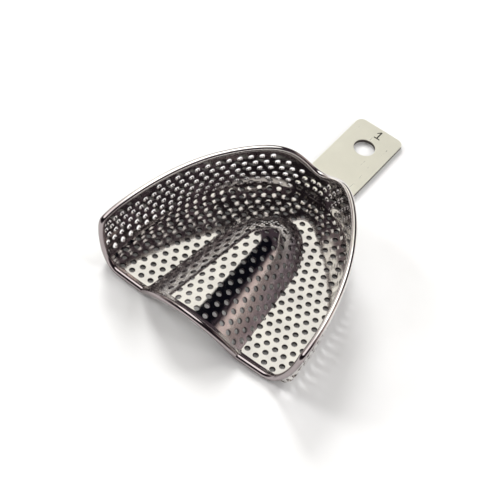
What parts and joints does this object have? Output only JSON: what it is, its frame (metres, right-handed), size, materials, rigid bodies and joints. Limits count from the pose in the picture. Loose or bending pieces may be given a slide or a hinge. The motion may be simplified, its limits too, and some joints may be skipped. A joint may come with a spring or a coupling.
{
  "type": "dental impression tray",
  "caption": "Horseshoe-shaped perforated metal tray for an upper-arch dental impression, with a round wire rim, a raised palate and a flat strip handle.",
  "frame": {"origin": "below the middle of the tray's length and width, on the plane it rests on", "axes": "+Y towards the front teeth and the handle, +Z towards the side that takes the impression material, +X across the tray"},
  "size_m": [0.072, 0.1072, 0.0203],
  "materials": {
    "shell_plate": "polished nickel plate on perforated sheet",
    "wire_plate": "polished plated round wire",
    "handle_plate": "satin plated strip",
    "braze": "plated braze fillet",
    "solder": "plated solder fillet"
  },
  "bodies": {
    "root": {"tray_shell": "shell_plate", "rim_wire": "wire_plate", "handle": "handle_plate", "handle_braze": "braze", "wire_joint": "solder"}
  },
  "joints": []
}
